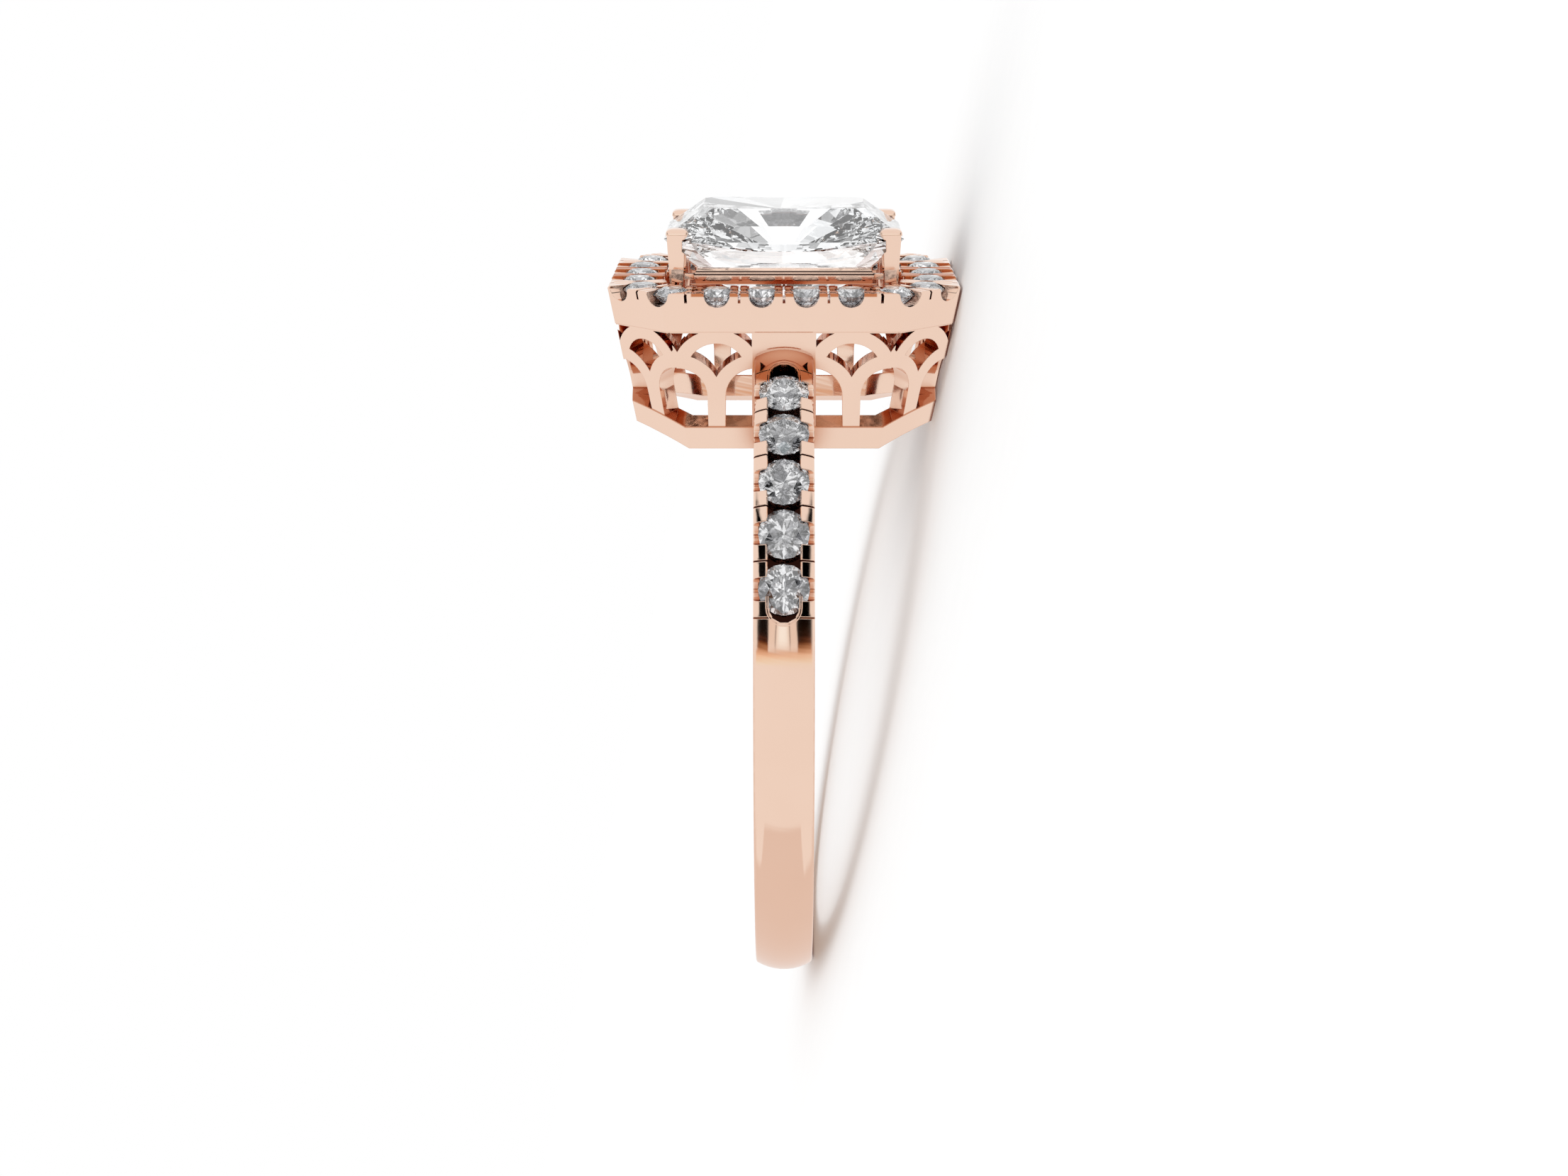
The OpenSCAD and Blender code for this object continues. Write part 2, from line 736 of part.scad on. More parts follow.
// Seat rails on the four sides, with a thin link from their ends to each prong
module seat_frame() {
    front_len = 5.52;
    side_len = 3.76;
    link = 0.18;
    link_in = 0.2;
    link_z = seat_bottom + seat_h / 2;
    for (turn = [0, 180]) {
        rotate([0, 0, turn])
            translate([0, -seat_half_y, seat_bottom])
                seat_bar(front_len);
        rotate([0, 0, 90 + turn])
            translate([0, -seat_half_x, seat_bottom])
                seat_bar(side_len);
    }
    for (sx = [-1, 1], sy = [-1, 1]) {
        translate([sx * (front_len / 2 + prong_x) / 2, sy * (seat_half_y - link_in), link_z])
            cube([prong_x - front_len / 2 + past, link, link], center = true);
        translate([sx * (seat_half_x - link_in), sy * (side_len / 2 + prong_y) / 2, link_z])
            cube([link, prong_y - side_len / 2 + past, link], center = true);
    }
}

// Feet that join the prongs to the inner corners of the tray
module prong_feet() {
    foot_len = 0.75;
    foot_w = 0.34;
    foot_h = 0.38;
    for (sx = [-1, 1], sy = [-1, 1])
        translate([sx * prong_x, sy * prong_y, prong_foot])
            rotate([0, 0, atan2(sy, sx)])
                translate([-2 * merge, -foot_w / 2, 0])
                    cube([foot_len, foot_w, foot_h]);
}

// The head's inner setting: prongs and seat, cut to the centre stone
module inner_setting() {
    difference() {
        union() {
            for (sx = [-1, 1], sy = [-1, 1])
                translate([sx * prong_x, sy * prong_y, 0])
                    prong();
            seat_frame();
            prong_feet();
        }
        gem(centre_gap);
    }
}

// All the metal, cast and soldered into one piece
module ring_mount() {
    color(gold) {
        shank();
        basket();
        halo_tray();
        inner_setting();
    }
}

module centre_stone() {
    color(diamond)
        gem();
}

module halo_stone(i) {
    place = halo_places[i];
    color(diamond)
        translate([place.x, place.y, halo_girdle])
            rotate([0, 0, place.z])
                brilliant(halo_stone_d);
}

module shank_stone(i) {
    color(diamond)
        on_shank(first_stone_angle + (i % shoulder_stones) * stone_step_angle, i >= shoulder_stones)
            translate([0, 0, shank_table_proud - crown_part * shank_stone_d])
                brilliant(shank_stone_d);
}

laid_down() ring_mount();
laid_down() centre_stone();
for (i = [0 : halo_count - 1])
    laid_down() halo_stone(i);
for (i = [0 : shank_count - 1])
    laid_down() shank_stone(i);
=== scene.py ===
"""Halo engagement ring, lying on a pale floor: its finishes, finer pieces, light and camera."""

import json
import logging
import math
from dataclasses import dataclass
from enum import Enum
from typing import Any, Iterable, NamedTuple

import bmesh
import bpy
from mathutils import Matrix, Vector


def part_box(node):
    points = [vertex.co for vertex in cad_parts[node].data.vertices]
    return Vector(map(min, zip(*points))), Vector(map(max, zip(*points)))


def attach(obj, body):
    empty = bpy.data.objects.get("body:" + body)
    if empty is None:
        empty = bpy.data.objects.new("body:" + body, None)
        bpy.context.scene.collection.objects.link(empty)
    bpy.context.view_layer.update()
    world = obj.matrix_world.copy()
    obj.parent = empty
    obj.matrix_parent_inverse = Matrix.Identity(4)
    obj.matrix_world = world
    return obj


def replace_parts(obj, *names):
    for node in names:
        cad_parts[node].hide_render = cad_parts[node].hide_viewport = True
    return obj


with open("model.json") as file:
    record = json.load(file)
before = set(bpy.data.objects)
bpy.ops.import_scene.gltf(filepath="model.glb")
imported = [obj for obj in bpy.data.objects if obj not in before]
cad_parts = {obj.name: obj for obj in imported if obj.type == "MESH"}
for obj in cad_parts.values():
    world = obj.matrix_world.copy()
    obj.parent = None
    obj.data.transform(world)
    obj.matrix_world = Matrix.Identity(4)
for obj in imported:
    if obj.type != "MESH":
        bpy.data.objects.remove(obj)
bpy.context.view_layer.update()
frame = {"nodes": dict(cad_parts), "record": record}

LOG = logging.getLogger("ring")
MM: float = 0.001
BODY: str = "root"

Colour = tuple[float, float, float, float]
Span = tuple[float, float]
Edge = tuple[float, float]
Place = tuple[float, float, float]
WHITE: Colour = (1, 1, 1, 1)
BLACK: Colour = (0, 0, 0, 1)


class Slot(Enum):
    """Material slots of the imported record."""

    METAL = "rose_gold"
    STONE = "diamond"


class Node(Enum):
    """Shader and geometry nodes that the ring uses."""

    COORDINATES = "ShaderNodeTexCoord"
    MATH = "ShaderNodeMath"
    VECTOR_MATH = "ShaderNodeVectorMath"
    MIX = "ShaderNodeMix"
    NOISE = "ShaderNodeTexNoise"
    MAPPING = "ShaderNodeMapping"
    BUMP = "ShaderNodeBump"
    BEVEL = "ShaderNodeBevel"
    PRINCIPLED = "ShaderNodeBsdfPrincipled"
    OUTPUT = "ShaderNodeOutputMaterial"
    BACKGROUND = "ShaderNodeBackground"
    MIX_SHADER = "ShaderNodeMixShader"
    LIGHT_PATH = "ShaderNodeLightPath"
    WORLD_OUTPUT = "ShaderNodeOutputWorld"
    OCCLUSION = "ShaderNodeAmbientOcclusion"
    CELLS = "ShaderNodeTexVoronoi"
    SPLIT_COLOUR = "ShaderNodeSeparateColor"
    GROUP_IN = "NodeGroupInput"
    GROUP_OUT = "NodeGroupOutput"
    OBJECT_INFO = "GeometryNodeObjectInfo"
    ATTRIBUTE = "GeometryNodeInputNamedAttribute"
    COMBINE = "ShaderNodeCombineXYZ"
    INSTANCES = "GeometryNodeInstanceOnPoints"
    REALIZE = "GeometryNodeRealizeInstances"
    SET_MATERIAL = "GeometryNodeSetMaterial"
    SET_SMOOTH = "GeometryNodeSetShadeSmooth"
    TO_CURVE = "GeometryNodeMeshToCurve"
    TO_MESH = "GeometryNodeCurveToMesh"
    CIRCLE = "GeometryNodeCurvePrimitiveCircle"


class Sock:
    """A shader socket that adds its Math nodes when it is used in an expression."""

    def __init__(self, graph: "Graph", socket: bpy.types.NodeSocket) -> None:
        """Keep the graph that new nodes go into, and the output socket that this stands for."""
        self.graph = graph
        self.socket = socket

    def _math(self, operation: str, *values: Any) -> "Sock":
        """Add one Math node, whose inputs are sockets or numbers."""
        node = self.graph.add(Node.MATH, {"operation": operation}, dict(enumerate(values)))
        return Sock(self.graph, node.outputs[0])

    def __add__(self, other: Any) -> "Sock":
        """Sum of two values."""
        return self._math("ADD", self, other)

    def __sub__(self, other: Any) -> "Sock":
        """Difference of two values."""
        return self._math("SUBTRACT", self, other)

    def __rsub__(self, other: Any) -> "Sock":
        """Difference of two values, with this one on the right."""
        return self._math("SUBTRACT", other, self)

    def __mul__(self, other: Any) -> "Sock":
        """Product of two values."""
        return self._math("MULTIPLY", self, other)

    def __rmul__(self, other: Any) -> "Sock":
        """Product of two values, with this one on the right."""
        return self._math("MULTIPLY", other, self)

    def __neg__(self) -> "Sock":
        """The value with its sign changed."""
        return self * -1

    def smooth(self, low: float, high: float) -> "Sock":
        """Rise smoothly from 0 to 1.

        Args:
            low: The value at which the result is 0.
            high: The value at which the result is 1.

        Returns:
            The smooth step.
        """
        t = self._math("MULTIPLY", self - low, 1 / (high - low))
        t.socket.node.use_clamp = True
        return t * t * (3 - 2 * t)

    def window(self, low: float, high: float, soft: float) -> "Sock":
        """Be 1 from low to high and 0 outside; each soft end reaches soft to both sides of its limit."""
        return self.smooth(low - soft, low + soft) * (1 - self.smooth(high - soft, high + soft))

    def beyond(self, limit: float, soft: float) -> "Sock":
        """Be 1 further from 0 than a limit, on either side; soft is as in window, but on squares."""
        return (self * self).smooth(limit ** 2 - soft, limit ** 2 + soft)


class Graph:
    """A material's or the world's node tree, with one method that adds any node."""

    def __init__(self, tree: bpy.types.NodeTree) -> None:
        """Clear a node tree, to build in it."""
        self.tree = tree
        tree.nodes.clear()

    def add(self, kind: Node, settings: dict[str, Any] | None = None,
            values: dict[Any, Any] | None = None) -> bpy.types.Node:
        """Add a node, set it and fill its inputs.

        Args:
            kind: The node's type.
            settings: Its properties, which are set first.
            values: Numbers, colours, sockets or Socks by input name or number.

        Returns:
            The node.
        """
        node = self.tree.nodes.new(kind.value)
        for name, value in (settings or {}).items():
            setattr(node, name, value)
        for key, value in (values or {}).items():
            if isinstance(value, Sock):
                value = value.socket
            if isinstance(value, bpy.types.NodeSocket):
                self.tree.links.new(value, node.inputs[key])
            else:
                node.inputs[key].default_value = value
        return node

    def dot(self, vector: bpy.types.NodeSocket, direction: Vector) -> Sock:
        """Measure a vector along a direction of unit length."""
        node = self.add(Node.VECTOR_MATH, {"operation": "DOT_PRODUCT"}, {0: vector, 1: direction})
        return Sock(self, node.outputs["Value"])

    def mix_colour(self, factor: Any, first: Any, second: Any) -> bpy.types.NodeSocket:
        """Mix two colours, tuples or sockets; the factor says how much of the second shows."""
        node = self.add(Node.MIX, {"data_type": "RGBA"}, {0: factor, 6: first, 7: second})
        return node.outputs[2]

    def cell_draw(self, vector: bpy.types.NodeSocket, scale: float) -> Sock:
        """Draw one random value from 0 to 1 for each cell of a pattern with scale cells per unit."""
        cells = self.add(Node.CELLS, {"feature": "F1"}, {"Vector": vector, "Scale": scale})
        return Sock(self, self.add(Node.SPLIT_COLOUR, None, {0: cells.outputs["Color"]}).outputs[0])

    def background(self, colour: Any, strength: Any = 1.0) -> bpy.types.NodeSocket:
        """Add a background of a colour and a strength, either of them plain or a socket."""
        return self.add(Node.BACKGROUND, None, {"Color": colour, "Strength": strength}).outputs[0]

    def finish(self, values: dict[str, Any]) -> None:
        """End a material with its one surface shader, whose inputs are given by name."""
        shader = self.add(Node.PRINCIPLED, None, values)
        self.add(Node.OUTPUT, None, {"Surface": shader.outputs[0]})


def start_material(name: str) -> tuple[bpy.types.Material, Graph, bpy.types.NodeSocket]:
    """Start a material with an empty graph.

    Args:
        name: The material's name.

    Returns:
        The material, its graph and the place of each point on the object.
    """
    material = bpy.data.materials.new(name)
    material.use_nodes = True
    graph = Graph(material.node_tree)
    return material, graph, graph.add(Node.COORDINATES).outputs["Object"]


@dataclass(frozen=True)
class RingAxes:
    """The lying ring's own axes: its finger axis, the way back from the viewer, and the way to the head."""

    origin: Vector
    right: Vector
    back: Vector
    head: Vector

    @classmethod
    def from_record(cls, record: dict[str, Any]) -> "RingAxes":
        """Read the axes from the finger hole's mount.

        Args:
            record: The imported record.

        Returns:
            The axes.
        """
        mount = next(m for m in record["mounts"] if m["name"] == "finger_bore")
        right = Vector(mount["axis"]).normalized()
        back = Vector((0, 1, 0))
        return cls(Vector(mount["pos_m"]), right, back, right.cross(back).normalized())

    def point(self, x: float, y: float, z: float) -> Vector:
        """Turn a place in millimetres on the upright ring into metres in the row frame."""
        return self.origin + (self.right * x + self.back * y + self.head * z) * MM

    def upright(self, place: Vector) -> Vector:
        """Turn a place in the row frame into millimetres on the upright ring."""
        d = (place - self.origin) / MM
        return Vector((d.dot(self.right), d.dot(self.back), d.dot(self.head)))

    def turn(self) -> Matrix:
        """The rotation from the upright ring's axes to the row frame's."""
        return Matrix((self.right, self.back, self.head)).transposed()


@dataclass(frozen=True)
class MetalPlaces:
    """Places on the mount where shade is painted into the metal's colour, as masks from 0 to 1.

    Sizes are in millimetres on the upright ring. An Edge holds a limit across the ring and the softness
    of its edge, which is measured on squares, as that of a radius is.
    """

    x: Sock
    y: Sock
    z: Sock
    shank_rise: float = 0.86
    outer_r: float = 11.03
    dome_r: float = 1.71
    channel_x: Edge = (0.49, 0.01)
    channel_end_y: Edge = (4.75, 0.2)
    channel_radii: Span = (10.2, 10.76)
    channel_r_soft: float = 0.5
    channel_foot: Span = (1.5, 2.0)
    arch_x: Edge = (0.949, 0.05)
    arch_y: Edge = (3.873, 1.0)
    arch_shade: Span = (10.45, 11.08)
    arch_foot: Span = (10.2, 10.3)
    sill_x: Edge = (0.922, 0.05)
    sill_r: float = 9.37
    sill_r_soft: float = 0.6
    # How much painted shade the sills get.
    sill_shade: float = 0.8
    scallop_inner_x: Edge = (0.46, 0.008)
    scallop_outer_x: Edge = (0.855, 0.008)
    scallop_floor_r: float = 9.9
    scallop_r_soft: float = 1.0
    scallop_depth: float = 0.34
    # How much painted shade the scallops get.
    scallop_shade: float = 0.85
    front_rail_x: Edge = (2.784, 0.15)
    front_rail_y: Edge = (2.46, 0.15)
    side_rail_x: Edge = (3.256, 0.2)
    side_rail_y: Edge = (1.897, 0.1)
    rail_steps: tuple[Span, Span] = ((12.985, 13.025), (13.072, 13.112))
    rail_step_soft: float = 0.008
    rail_foot: Span = (12.6, 12.66)
    rail_shade: Span = (12.7, 12.88)

    @classmethod
    def on(cls, graph: Graph, place: bpy.types.NodeSocket, axes: RingAxes) -> "MetalPlaces":
        """Measure a place on the lying ring along the ring's own axes."""
        ways = (axes.right, axes.back, axes.head)
        return cls(*((graph.dot(place, way) - axes.origin.dot(way)) * (1 / MM) for way in ways))

    def from_shank_axis(self) -> Sock:
        """Square of the distance from the axis of the shank's outer circle."""
        up = self.z - self.shank_rise
        return self.y * self.y + up * up

    def channel_floor(self) -> Sock:
        """Floors of the stone channels, which no light reaches."""
        low, high = self.channel_radii
        across = 1 - self.x.beyond(*self.channel_x)
        deep = self.from_shank_axis().window(low ** 2, high ** 2, self.channel_r_soft)
        outside = self.y.beyond(*self.channel_end_y)
        return across * deep * outside * (self.z - self.shank_rise).smooth(*self.channel_foot)

    def under_arch(self) -> Sock:
        """Recess under the arch over the end of each shoulder, from 0 at the arch to 1 deep under it."""
        middle = (1 - self.x.beyond(*self.arch_x)) * self.y.beyond(*self.arch_y)
        return middle * (1 - self.z.smooth(*self.arch_shade)) * self.z.smooth(*self.arch_foot)

    def on_sill(self) -> Sock:
        """Sills of the basket's lower openings, which curve over the finger."""
        low, high = self.sill_r ** 2 - self.sill_r_soft, self.sill_r ** 2 + self.sill_r_soft
        round_finger = (self.y * self.y + self.z * self.z).window(low, high, self.sill_r_soft / 2)
        return round_finger * self.x.beyond(*self.sill_x)

    def in_scallop(self) -> Sock:
        """Scallops cut into the shoulders' domed face, from 0 on the dome to 1 deep in a scallop."""
        floor, soft = self.scallop_floor_r ** 2, self.scallop_r_soft
        from_axis = self.from_shank_axis()
        drop = self.outer_r ** 2 - self.outer_r / self.dome_r * (self.x * self.x) - from_axis
        inside = self.x.beyond(*self.scallop_inner_x) * (1 - self.x.beyond(*self.scallop_outer_x))
        inside = inside * from_axis.smooth(floor - soft, floor + soft)
        return inside * drop.smooth(soft, 2 * self.outer_r * self.scallop_depth)

    def on_rail(self) -> Sock:
        """Seat rails under the centre stone, without the prongs between them."""
        front = (1 - self.x.beyond(*self.front_rail_x)) * self.y.beyond(*self.front_rail_y)
        side = (1 - self.y.beyond(*self.side_rail_y)) * self.x.beyond(*self.side_rail_x)
        return front + side

    def painted_rail_lines(self) -> Sock:
        """Painted dark lines at the two fine steps of the seat rails: their shade and the reflections in
        them.
        """
        first, second = (self.z.window(*step, self.rail_step_soft) for step in self.rail_steps)
        return self.on_rail() * (first + second)

    def recesses(self) -> Sock:
        """Everything where shade is painted by place, deepening the metal's tone."""
        # Painted shade on the rails' lower faces, under the arches, on the sills and in the scallops.
        low_face = self.z.smooth(*self.rail_foot) * (1 - self.z.smooth(*self.rail_shade))
        unshaded_metal = (1 - self.on_rail() * low_face) * (1 - self.under_arch())
        unshaded_metal = unshaded_metal * (1 - self.on_sill() * self.sill_shade)
        return 1 - unshaded_metal * (1 - self.in_scallop() * self.scallop_shade)

    def unlit(self) -> Sock:
        """Everything painted nearly black as shade."""
        return 1 - (1 - self.channel_floor()) * (1 - self.painted_rail_lines())


@dataclass(frozen=True)
class RoseGold:
    """Polished rose gold with soft edges, faint polishing marks and painted shade deepening its recesses."""

    colour: Colour = (0.86, 0.63, 0.505, 1)
    cloud_colour: Colour = (0.85, 0.615, 0.49, 1)
    # Painted shade deep in recesses.
    recess_shade_colour: Colour = (0.52, 0.18, 0.075, 1)
    # Painted brown shade beside stones.
    shade_colour: Colour = (0.2, 0.055, 0.025, 1)
    # Painted near-black shade where no light reaches.
    unlit_colour: Colour = (0.02, 0.006, 0.004, 1)
    recess_reach: float = 0.0014
    recess_contrast: Span = (0.3, 0.85)
    set_reach: float = 0.00016
    set_contrast: Span = (0.2, 0.55)
    sky_samples: int = 12
    roughness_low: float = 0.04
    roughness_high: float = 0.09
    cloud_scale: float = 260.0
    cloud_detail: float = 3.0
    cloud_contrast: Span = (0.35, 0.65)
    mark_scale: float = 2600.0
    mark_detail: float = 2.0
    mark_roughness: float = 0.6
    mark_stretch: float = 0.08
    mark_height: float = 0.0000015
    edge_radius: float = 0.000035
    edge_samples: int = 6

    def build(self, name: str, axes: RingAxes) -> bpy.types.Material:
        """Make the material.

        Args:
            name: The material's name.
            axes: The lying ring's axes.

        Returns:
            The material.
        """
        material, graph, place = start_material(name)
        clouds = graph.add(
            Node.NOISE, None, {"Vector": place, "Scale": self.cloud_scale, "Detail": self.cloud_detail}
        )
        cloud = Sock(graph, clouds.outputs[0]).smooth(*self.cloud_contrast)
        stretched = graph.add(
            Node.MAPPING, None, {"Vector": place, "Scale": (1, self.mark_stretch, self.mark_stretch)}
        )
        marks = graph.add(
            Node.NOISE, None,
            {"Vector": stretched.outputs[0], "Scale": self.mark_scale, "Detail": self.mark_detail,
             "Roughness": self.mark_roughness},
        )
        soft_edge = graph.add(Node.BEVEL, {"samples": self.edge_samples}, {"Radius": self.edge_radius})
        bump = graph.add(
            Node.BUMP, None,
            {"Height": marks.outputs[0], "Distance": self.mark_height, "Strength": 1.0,
             "Normal": soft_edge.outputs[0]},
        )
        graph.finish({
            "Base Color": self.tone(graph, cloud, MetalPlaces.on(graph, place, axes)),
            "Metallic": 1.0,
            "Roughness": cloud * (self.roughness_high - self.roughness_low) + self.roughness_low,
            "Normal": bump.outputs[0],
        })
        return material

    def tone(self, graph: Graph, cloud: Sock, places: MetalPlaces) -> bpy.types.NodeSocket:
        """Mix the metal's colour: polished, with painted shade: deeper in recesses, brown beside stones,
        nearly black unlit.

        Args:
            graph: The material's graph.
            cloud: The faint clouds in the polish.
            places: The mount's places with a tone of their own.

        Returns:
            The colour.
        """
        # Painted shade: the colour deepens where the metal is closed in, and turns brown where a stone sits
        # close.
        openness = self.open_sky(graph, True, self.recess_reach).smooth(*self.recess_contrast)
        open_beside_stones = self.open_sky(graph, False, self.set_reach).smooth(*self.set_contrast)
        polished = graph.mix_colour(cloud, self.colour, self.cloud_colour)
        recess_shaded = graph.mix_colour(openness * (1 - places.recesses()), self.recess_shade_colour, polished)
        shaded = graph.mix_colour(open_beside_stones, self.shade_colour, recess_shaded)
        # Painted shade: nearly black on the channel floors and the rails' step lines.
        return graph.mix_colour(places.unlit(), shaded, self.unlit_colour)

    def open_sky(self, graph: Graph, only_metal: bool, reach: float) -> Sock:
        """Measure how open a point is.

        Args:
            graph: The material's graph.
            only_metal: Whether the piece alone counts, and not the stones beside it.
            reach: How far off metal or stone still counts.

        Returns:
            0 where it is closed in and 1 where it is open.
        """
        node = graph.add(
            Node.OCCLUSION, {"samples": self.sky_samples, "only_local": only_metal}, {"Distance": reach}
        )
        return Sock(graph, node.outputs["AO"])


@dataclass(frozen=True)
class Diamond:
    """Clear diamond whose colour changes from cell to cell: painted dark facet reflections."""

    colour: Colour = (1.0, 1.0, 1.0, 1)
    # Colour of the painted dark cells, which stand for dark facet reflections.
    tone: Colour = (0.96, 0.975, 0.99, 1)
    cell_scale: float = 500.0
    cell_contrast: Span = (0.35, 0.75)
    refraction: float = 2.42

    def build(self, name: str) -> bpy.types.Material:
        """Make the material.

        Args:
            name: The material's name.

        Returns:
            The material.
        """
        material, graph, place = start_material(name)
        # Painted reflections: cells darken towards tone at random.
        dark = graph.cell_draw(place, self.cell_scale).smooth(*self.cell_contrast)
        graph.finish({
            "Base Color": graph.mix_colour(dark, self.colour, self.tone),
            "Roughness": 0.0, "IOR": self.refraction, "Transmission Weight": 1.0,
        })
        return material


@dataclass(frozen=True)
class PaleFloor:
    """Matt pale floor with a faint grain."""

    colour: Colour = (0.92, 0.92, 0.92, 1)
    shade: Colour = (0.90, 0.90, 0.90, 1)
    grain_scale: float = 900.0
    roughness: float = 0.6
    shine: float = 0.1

    def build(self, name: str) -> bpy.types.Material:
        """Make the material.

        Args:
            name: The material's name.

        Returns:
            The material.
        """
        material, graph, place = start_material(name)
        grain = graph.add(Node.NOISE, None, {"Vector": place, "Scale": self.grain_scale})
        graph.finish({
            "Base Color": graph.mix_colour(grain.outputs[0], self.colour, self.shade),
            "Roughness": self.roughness, "Specular IOR Level": self.shine,
        })
        return material


@dataclass
class Studio:
    """Floor, soft light all round, one key light, and the camera.

    Polished metal sees two dark flags, the lit gap between them and a warm low panel, and what leaves a
    stone sees a broken pattern of light and dark panels. Neither sees the floor, so both look the same
    from the left and from the right. Apart from first_depth and panel_contrast, a Span is a stretch of a
    ray's unit direction, and an Edge is a limit of it with the softness of its edge.
    """

    axes: RingAxes
    floor_half: float = 1.5
    first_depth: Span = (2.2, 2.8)
    viewer_side: Span = (0.1, 0.2)
    flag_left: Span = (0.52, 0.765)
    flag_right: Span = (0.45, 0.78)
    flag_edge: float = 0.012
    flag_slope: float = 0.21
    flag_top: Span = (0.61, 0.67)
    flag_fades: tuple[Span, Span, Span] = ((-0.02, 0.08), (-0.01, 0.11), (0.0, 0.13))
    foot_side: Edge = (0.78, 0.01)
    foot_rise: Span = (-0.25, -0.042)
    foot_edge: float = 0.01
    gap_side: Edge = (0.534, 0.015)
    gap_foot: Span = (-0.06, 0.02)
    gap_top: Span = (0.08, 0.2)
    gap_lines: Span = (-0.29, 0.2)
    gap_line_half: float = 0.012
    gap_line_depth: float = 0.9
    gap_glow: Colour = (1.1, 1.25, 1.3, 1)
    gap_tint: Colour = (0.93, 0.87, 0.82, 1)
    low_panel: Colour = (0.885, 0.80, 0.76, 1)
    low_panel_top: Span = (0.7655, 0.8055)
    low_panel_curve: float = 0.21
    underneath_back: Span = (0.15, 0.4)
    underneath_low: Span = (0.2, 0.4)
    panel_scale: float = 2.0
    panel_stretch: float = 2.2
    panel_contrast: Span = (0.3, 0.7)
    panel_bright: float = 1.1
    viewer_shade: float = 0.12
    viewer_reach: Span = (0.0, 0.6)
    overhead_fill: float = 0.6
    overhead_reach: Span = (0.2, 0.9)
    under_fill: float = 0.6
    under_reach: Span = (0.6, 0.95)
    behind_fill: float = 0.8
    behind_reach: Span = (0.3, 0.7)
    behind_bright: float = 1.35
    key_power: float = 0.5
    key_spread: float = math.radians(40)
    key_way: tuple[float, float, float] = (-0.25, 0.35, -1.0)
    lens: float = 58.43
    sensor: float = 36.0
    camera_tilt: float = math.radians(15.45)
    camera_distance: float = 83.7
    camera_rise: float = 1.18
    aim_height: float = 1.08
    glossy_bounces: int = 12
    transmission_bounces: int = 16
    max_bounces: int = 24

    def build(self) -> None:
        """Set the view, and make the floor, the light and the camera."""
        self.set_view()
        self.make_floor()
        self.make_world()
        self.make_key_light()
        self.make_camera()

    def set_view(self) -> None:
        """Show plain tones, and let light bounce often enough inside the stones."""
        scene = bpy.context.scene
        scene.view_settings.view_transform = "Standard"
        scene.cycles.glossy_bounces = self.glossy_bounces
        scene.cycles.transmission_bounces = self.transmission_bounces
        scene.cycles.max_bounces = self.max_bounces

    def make_floor(self) -> None:
        """Lay a wide pale floor under the ring."""
        h = self.floor_half
        mesh = bpy.data.meshes.new("floor")
        mesh.from_pydata([(-h, -h, 0), (h, -h, 0), (h, h, 0), (-h, h, 0)], [], [(0, 1, 2, 3)])
        mesh.materials.append(PaleFloor().build("pale_floor"))
        floor = bpy.data.objects.new("floor", mesh)
        bpy.context.scene.collection.objects.link(floor)
        floor.visible_glossy = False
        floor.visible_transmission = False

    def make_world(self) -> None:
        """Surround the ring with white light, and show mirrored and refracted rays something else."""
        world = bpy.data.worlds.new("studio")
        world.use_nodes = True
        bpy.context.scene.world = world
        graph = Graph(world.node_tree)
        way = graph.add(Node.COORDINATES).outputs["Generated"]
        path = graph.add(Node.LIGHT_PATH)
        in_metal = graph.add(
            Node.MIX_SHADER, None,
            {0: path.outputs["Is Glossy Ray"], 1: graph.background(WHITE),
             2: self.metal_surround(graph, way, Sock(graph, path.outputs["Ray Depth"]))},
        )
        in_stone = graph.add(
            Node.MIX_SHADER, None,
            {0: path.outputs["Is Transmission Ray"], 1: in_metal.outputs[0],
             2: self.stone_surround(graph, way)},
        )
        graph.add(Node.WORLD_OUTPUT, None, {"Surface": in_stone.outputs[0]})

    def metal_surround(self, graph: Graph, way: bpy.types.NodeSocket, depth: Sock) -> bpy.types.NodeSocket:
        """Make what polished metal sees: white, a warm low panel, and two dark flags with a lit gap.

        Args:
            graph: The world's graph.
            way: The direction of the ray.
            depth: The ray's depth. Only the first mirror image, at depth 2, shows the flags and the gap.

        Returns:
            The background.
        """
        side = graph.dot(way, self.axes.right)
        near = graph.dot(way, -self.axes.back)
        high = graph.dot(way, self.axes.head)
        first = (1 - depth.smooth(*self.first_depth)) * near.smooth(*self.viewer_side)
        rise = high - self.flag_slope * near
        tone = graph.mix_colour(self.below(side, near, high), WHITE, self.low_panel)
        tone = self.light_gap(graph, side, rise, first, tone)
        fades = [(-rise).smooth(*fade) for fade in self.flag_fades]
        fade = graph.add(Node.COMBINE, None, dict(enumerate(fades))).outputs[0]
        tone = graph.mix_colour(first * self.flags(side, rise, high), tone, fade)
        return graph.background(tone)

    def below(self, side: Sock, near: Sock, high: Sock) -> Sock:
        """Find the warm low panel, which reaches further up behind the ring than before it.

        Args:
            side: The ray's way along the finger.
            near: Its way towards the viewer.
            high: Its way towards the head.

        Returns:
            1 on the panel and 0 elsewhere.
        """
        facing_down = (-high + self.low_panel_curve * (side * side)).smooth(*self.low_panel_top)
        underneath = (-near).smooth(*self.underneath_back) * (-high).smooth(*self.underneath_low)
        return 1 - (1 - facing_down) * (1 - underneath)

